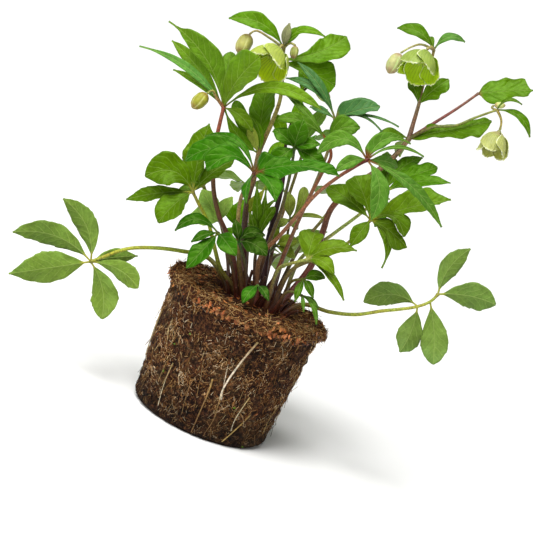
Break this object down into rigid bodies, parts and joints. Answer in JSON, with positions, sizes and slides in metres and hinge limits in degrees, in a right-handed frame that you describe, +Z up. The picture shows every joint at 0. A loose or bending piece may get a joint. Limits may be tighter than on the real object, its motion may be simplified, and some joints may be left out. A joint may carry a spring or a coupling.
{
  "type": "hellebore plant",
  "caption": "Young hellebore with a bare root ball: hand-shaped toothed leaves on long stalks and leafy-bracted stems with nodding lime-yellow blooms and buds.",
  "frame": {"origin": "middle of the root ball's flat base", "axes": "+Z up through the root ball; -Y is the side that the blooms and the largest leaves face, and +X is to the right seen from there"},
  "size_m": [0.3735, 0.2055, 0.3622],
  "materials": {
    "compost": "matte",
    "leaf_green": "satin",
    "leaf_pale": "matte",
    "leaf_dark": "satin",
    "leaf_blue": "satin",
    "stem": "satin",
    "bloom": "matte",
    "bud": "matte"
  },
  "bodies": {
    "root": {"root_ball": "compost", "leaf_far_left": "leaf_pale", "leaf_pale_left": "leaf_pale", "leaf_far_right": "leaf_pale", "leaf_left": "leaf_green", "leaf_centre": "leaf_green", "leaf_right_middle": "leaf_green", "leaf_upper_right": "leaf_green", "leaf_right_behind": "leaf_green", "leaf_right": "leaf_green", "leaf_low_right": "leaf_green", "leaf_front_base": "leaf_green", "leaf_between": "leaf_green", "leaf_left_inner": "leaf_green", "leaf_back_low": "leaf_green", "leaf_back_left": "leaf_green", "leaf_back_right": "leaf_green", "leaf_back_high": "leaf_green", "leaf_rosette": "leaf_dark", "leaf_small_right": "leaf_dark", "leaf_thread": "leaf_dark", "leaf_low_left": "leaf_dark", "leaf_centre_dark": "leaf_dark", "leaf_inner": "leaf_dark", "leaf_left_behind": "leaf_dark", "leaf_low_behind": "leaf_dark", "leaf_blue": "leaf_blue", "flower_stem_left": "stem", "flower_stem_middle": "stem", "flower_stem_dark": "stem", "flower_stem_right": "stem", "bloom_middle": "bloom", "bloom_right": "bloom", "bloom_far_right": "bloom", "bud_left": "bud", "bud_top": "bud", "bud_small_middle": "bud", "bud_right": "bud", "bud_small_far_right": "bud", "bud_hidden": "bud"}
  },
  "joints": []
}
